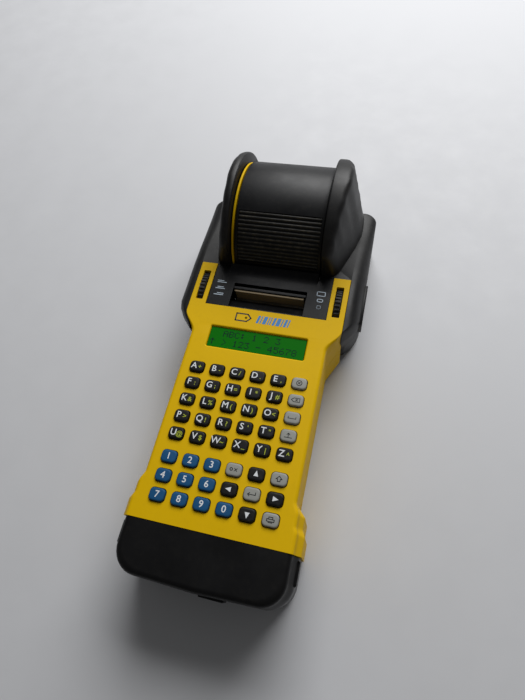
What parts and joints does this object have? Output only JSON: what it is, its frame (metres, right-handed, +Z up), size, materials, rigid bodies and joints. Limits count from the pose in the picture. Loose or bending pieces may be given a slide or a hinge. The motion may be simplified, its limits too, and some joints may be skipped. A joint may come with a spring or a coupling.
{
  "type": "hand-held label maker",
  "caption": "Hand-held label and wire-marker printer with a rubber keypad, small display, drop-in label cartridge between round flanges, and a clip-on battery pack.",
  "frame": {"origin": "under the middle of the bounding box, on the plane that the feet stand on", "axes": "+Z up out of the keypad face, +Y from the battery pack towards the cartridge, +X to the user's right"},
  "size_m": [0.1224, 0.2892, 0.0918],
  "materials": {
    "yellow_abs": "fine satin",
    "black_abs": "fine satin",
    "panel_black": "semi-gloss",
    "lcd_glass": "clear over green",
    "circuit_board": "solder mask",
    "plated_steel": "zinc plated",
    "black_rubber": "matt",
    "key_black": "coated silicone",
    "key_blue": "coated silicone",
    "key_grey": "coated silicone",
    "white_nylon": "moulded",
    "label_paper": "coated paper",
    "ribbon_film": "film"
  },
  "bodies": {
    "case": {"upper_case": "yellow_abs", "lower_case": "yellow_abs", "head_cover": "black_abs", "head_base": "black_abs", "legend_panel": "panel_black", "lcd_lens": "lcd_glass", "lcd_module": "circuit_board", "main_board": "circuit_board", "tear_bar": "black_abs", "mechanism_chassis": "plated_steel", "stepper_motor": "plated_steel", "power_switch": "black_abs", "case_screw_left": "plated_steel", "case_screw_right": "plated_steel", "head_screw_left": "plated_steel", "head_screw_right": "plated_steel", "foot_tail": "black_rubber", "foot_head": "black_rubber"},
    "label": {"label_strip": "label_paper"},
    "letters": {"letter_keys": "key_black"},
    "key_clear_body": {"key_clear": "key_grey"},
    "key_delete_body": {"key_delete": "key_grey"},
    "key_space_body": {"key_space": "key_grey"},
    "key_feed_body": {"key_feed": "key_grey"},
    "key_1_body": {"key_1": "key_blue"},
    "key_2_body": {"key_2": "key_blue"},
    "key_3_body": {"key_3": "key_blue"},
    "key_symbol_body": {"key_symbol": "key_grey"},
    "key_up_body": {"key_up": "key_black"},
    "key_shift_body": {"key_shift": "key_grey"},
    "key_4_body": {"key_4": "key_blue"},
    "key_5_body": {"key_5": "key_blue"},
    "key_6_body": {"key_6": "key_blue"},
    "key_left_body": {"key_left": "key_black"},
    "key_enter_body": {"key_enter": "key_grey"},
    "key_right_body": {"key_right": "key_black"},
    "key_7_body": {"key_7": "key_blue"},
    "key_8_body": {"key_8": "key_blue"},
    "key_9_body": {"key_9": "key_blue"},
    "key_0_body": {"key_0": "key_blue"},
    "key_down_body": {"key_down": "key_black"},
    "key_print_body": {"key_print": "key_grey"},
    "mode_dial": {"mode_wheel": "black_rubber"},
    "power_dial": {"power_wheel": "black_rubber"},
    "platen": {"platen_roller": "black_rubber", "platen_gear": "white_nylon"},
    "idler": {"idler_gear": "white_nylon"},
    "pinion": {"motor_pinion": "plated_steel"},
    "head": {"print_head": "plated_steel"},
    "release": {"head_release": "black_abs"},
    "cartridge": {"cartridge_shell": "black_abs", "cartridge_side_left": "yellow_abs", "cartridge_side_right": "black_abs"},
    "roll": {"label_roll": "label_paper"},
    "supply": {"ribbon_supply": "ribbon_film"},
    "takeup": {"ribbon_takeup": "ribbon_film"},
    "battery": {"battery_case": "black_abs", "battery_cells": "plated_steel"},
    "latch_left": {"battery_latch_left": "black_abs"},
    "latch_right": {"battery_latch_right": "black_abs"}
  },
  "joints": [
    {"name": "key_clear_press", "type": "slide", "parent": "case", "child": "key_clear_body", "axis": [0, 0, -1], "range_m": [0, 0.001], "stiffness_N_per_m": 500, "springref_m": -0.0003},
    {"name": "key_delete_press", "type": "slide", "parent": "case", "child": "key_delete_body", "axis": [0, 0, -1], "range_m": [0, 0.001], "stiffness_N_per_m": 500, "springref_m": -0.0003},
    {"name": "key_space_press", "type": "slide", "parent": "case", "child": "key_space_body", "axis": [0, 0, -1], "range_m": [0, 0.001], "stiffness_N_per_m": 500, "springref_m": -0.0003},
    {"name": "key_feed_press", "type": "slide", "parent": "case", "child": "key_feed_body", "axis": [0, 0, -1], "range_m": [0, 0.001], "stiffness_N_per_m": 500, "springref_m": -0.0003},
    {"name": "key_1_press", "type": "slide", "parent": "case", "child": "key_1_body", "axis": [0, 0, -1], "range_m": [0, 0.001], "stiffness_N_per_m": 500, "springref_m": -0.0003},
    {"name": "key_2_press", "type": "slide", "parent": "case", "child": "key_2_body", "axis": [0, 0, -1], "range_m": [0, 0.001], "stiffness_N_per_m": 500, "springref_m": -0.0003},
    {"name": "key_3_press", "type": "slide", "parent": "case", "child": "key_3_body", "axis": [0, 0, -1], "range_m": [0, 0.001], "stiffness_N_per_m": 500, "springref_m": -0.0003},
    {"name": "key_symbol_press", "type": "slide", "parent": "case", "child": "key_symbol_body", "axis": [0, 0, -1], "range_m": [0, 0.001], "stiffness_N_per_m": 500, "springref_m": -0.0003},
    {"name": "key_up_press", "type": "slide", "parent": "case", "child": "key_up_body", "axis": [0, 0, -1], "range_m": [0, 0.001], "stiffness_N_per_m": 500, "springref_m": -0.0003},
    {"name": "key_shift_press", "type": "slide", "parent": "case", "child": "key_shift_body", "axis": [0, 0, -1], "range_m": [0, 0.001], "stiffness_N_per_m": 500, "springref_m": -0.0003},
    {"name": "key_4_press", "type": "slide", "parent": "case", "child": "key_4_body", "axis": [0, 0, -1], "range_m": [0, 0.001], "stiffness_N_per_m": 500, "springref_m": -0.0003},
    {"name": "key_5_press", "type": "slide", "parent": "case", "child": "key_5_body", "axis": [0, 0, -1], "range_m": [0, 0.001], "stiffness_N_per_m": 500, "springref_m": -0.0003},
    {"name": "key_6_press", "type": "slide", "parent": "case", "child": "key_6_body", "axis": [0, 0, -1], "range_m": [0, 0.001], "stiffness_N_per_m": 500, "springref_m": -0.0003},
    {"name": "key_left_press", "type": "slide", "parent": "case", "child": "key_left_body", "axis": [0, 0, -1], "range_m": [0, 0.001], "stiffness_N_per_m": 500, "springref_m": -0.0003},
    {"name": "key_enter_press", "type": "slide", "parent": "case", "child": "key_enter_body", "axis": [0, 0, -1], "range_m": [0, 0.001], "stiffness_N_per_m": 500, "springref_m": -0.0003},
    {"name": "key_right_press", "type": "slide", "parent": "case", "child": "key_right_body", "axis": [0, 0, -1], "range_m": [0, 0.001], "stiffness_N_per_m": 500, "springref_m": -0.0003},
    {"name": "key_7_press", "type": "slide", "parent": "case", "child": "key_7_body", "axis": [0, 0, -1], "range_m": [0, 0.001], "stiffness_N_per_m": 500, "springref_m": -0.0003},
    {"name": "key_8_press", "type": "slide", "parent": "case", "child": "key_8_body", "axis": [0, 0, -1], "range_m": [0, 0.001], "stiffness_N_per_m": 500, "springref_m": -0.0003},
    {"name": "key_9_press", "type": "slide", "parent": "case", "child": "key_9_body", "axis": [0, 0, -1], "range_m": [0, 0.001], "stiffness_N_per_m": 500, "springref_m": -0.0003},
    {"name": "key_0_press", "type": "slide", "parent": "case", "child": "key_0_body", "axis": [0, 0, -1], "range_m": [0, 0.001], "stiffness_N_per_m": 500, "springref_m": -0.0003},
    {"name": "key_down_press", "type": "slide", "parent": "case", "child": "key_down_body", "axis": [0, 0, -1], "range_m": [0, 0.001], "stiffness_N_per_m": 500, "springref_m": -0.0003},
    {"name": "key_print_press", "type": "slide", "parent": "case", "child": "key_print_body", "axis": [0, 0, -1], "range_m": [0, 0.001], "stiffness_N_per_m": 500, "springref_m": -0.0003},
    {"name": "letters_press", "type": "slide", "parent": "case", "child": "letters", "axis": [0, 0, -1], "range_m": [0, 0.001], "stiffness_N_per_m": 1500, "springref_m": -0.0003},
    {"name": "mode_turn", "type": "hinge", "parent": "case", "child": "mode_dial", "pos_m": [-0.0457, 0.03615, 0.0374], "axis": [1, 0, 0], "range_deg": [-24, 24]},
    {"name": "power_turn", "type": "hinge", "parent": "case", "child": "power_dial", "pos_m": [0.0443, 0.03615, 0.0374], "axis": [1, 0, 0], "range_deg": [-24, 24]},
    {"name": "platen_turn", "type": "hinge", "parent": "case", "child": "platen", "pos_m": [-0.0007, 0.04185, 0.0378], "axis": [1, 0, 0], "continuous": true},
    {"name": "idler_turn", "type": "hinge", "parent": "case", "child": "idler", "pos_m": [-0.0337, 0.04185, 0.0238], "axis": [1, 0, 0], "continuous": true},
    {"name": "pinion_turn", "type": "hinge", "parent": "case", "child": "pinion", "pos_m": [-0.0337, 0.04185, 0.0128], "axis": [1, 0, 0], "continuous": true},
    {"name": "release_press", "type": "slide", "parent": "case", "child": "release", "axis": [-1, 0, 0], "range_m": [0, 0.0015], "stiffness_N_per_m": 400, "springref_m": -0.0003},
    {"name": "head_open", "type": "hinge", "parent": "case", "child": "head", "pos_m": [-0.0007, 0.02925, 0.024], "axis": [1, 0, 0], "range_deg": [0, 5]},
    {"name": "label_feed", "type": "slide", "parent": "case", "child": "label", "axis": [0, 0, 1], "range_m": [0, 0.02]},
    {"name": "cartridge_lift", "type": "slide", "parent": "case", "child": "cartridge", "axis": [0, 0, 1], "range_m": [0, 0.09]},
    {"name": "roll_turn", "type": "hinge", "parent": "cartridge", "child": "roll", "pos_m": [-0.0007, 0.10463, 0.05178], "axis": [1, 0, 0], "continuous": true},
    {"name": "supply_turn", "type": "hinge", "parent": "cartridge", "child": "supply", "pos_m": [-0.0007, 0.08279, 0.0186], "axis": [1, 0, 0], "continuous": true},
    {"name": "takeup_turn", "type": "hinge", "parent": "cartridge", "child": "takeup", "pos_m": [-0.0007, 0.06683, 0.03666], "axis": [1, 0, 0], "continuous": true},
    {"name": "battery_slide", "type": "slide", "parent": "case", "child": "battery", "axis": [0, -1, 0], "range_m": [0, 0.05]},
    {"name": "latch_left_press", "type": "slide", "parent": "battery", "child": "latch_left", "axis": [1, 0, 0], "range_m": [0, 0.0012], "stiffness_N_per_m": 800, "springref_m": -0.0003},
    {"name": "latch_right_press", "type": "slide", "parent": "battery", "child": "latch_right", "axis": [-1, 0, 0], "range_m": [0, 0.0012], "stiffness_N_per_m": 800, "springref_m": -0.0003}
  ],
  "couplings": [
    {"joint": "idler_turn", "follows": "platen_turn", "ratio": -1.3333},
    {"joint": "pinion_turn", "follows": "platen_turn", "ratio": 1.6},
    {"joint": "head_open", "follows": "release_press", "rad_per_m": 58}
  ]
}
